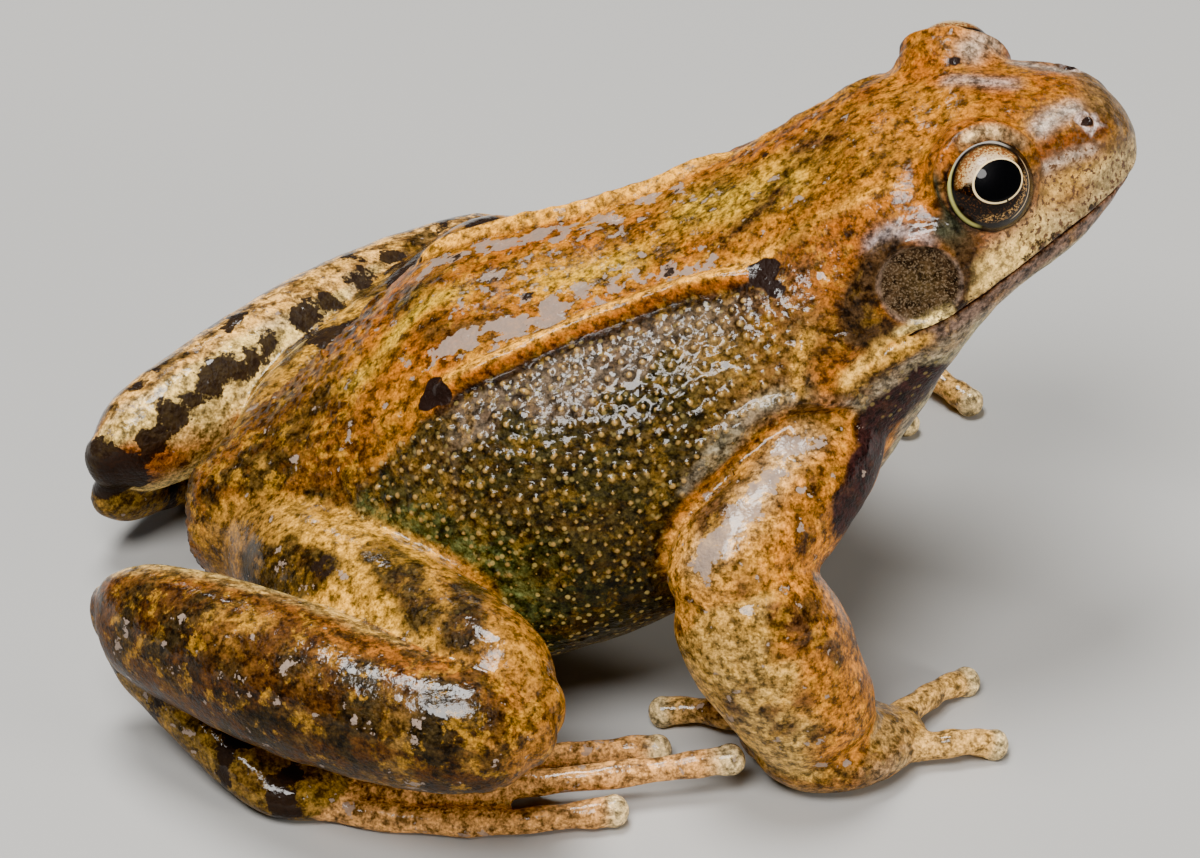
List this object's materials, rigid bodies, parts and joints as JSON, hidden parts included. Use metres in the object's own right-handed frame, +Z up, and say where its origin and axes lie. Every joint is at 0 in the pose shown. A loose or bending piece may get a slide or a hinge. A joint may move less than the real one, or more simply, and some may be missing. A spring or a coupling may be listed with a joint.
{
  "type": "common frog",
  "caption": "Life-size still model of a common frog, sitting upright with its chest raised and its hind legs folded at its sides.",
  "frame": {"origin": "on the floor under the middle of the frog's length and width", "axes": "+X to the snout, +Y to the frog's left, +Z up"},
  "size_m": [0.0751, 0.0654, 0.0452],
  "materials": {
    "back": "wet orange-brown skin with dark mottling, painted museum cast",
    "throat": "wet pale brown-grey skin",
    "limb": "wet orange-brown skin with dark bars",
    "digit": "wet tan skin",
    "ear": "dark brown taut skin",
    "eye": "polished, dark with a gold iris"
  },
  "bodies": {
    "root": {"trunk": "back", "head": "back", "lower_jaw": "throat", "eye_right": "eye", "ear_right": "ear", "upper_arm_right": "limb", "forearm_right": "limb", "hand_right": "digit", "thigh_right": "limb", "shank_right": "limb", "tarsus_right": "limb", "foot_right": "digit", "eye_left": "eye", "ear_left": "ear", "upper_arm_left": "limb", "forearm_left": "limb", "hand_left": "digit", "thigh_left": "limb", "shank_left": "limb", "tarsus_left": "limb", "foot_left": "digit"}
  },
  "joints": []
}
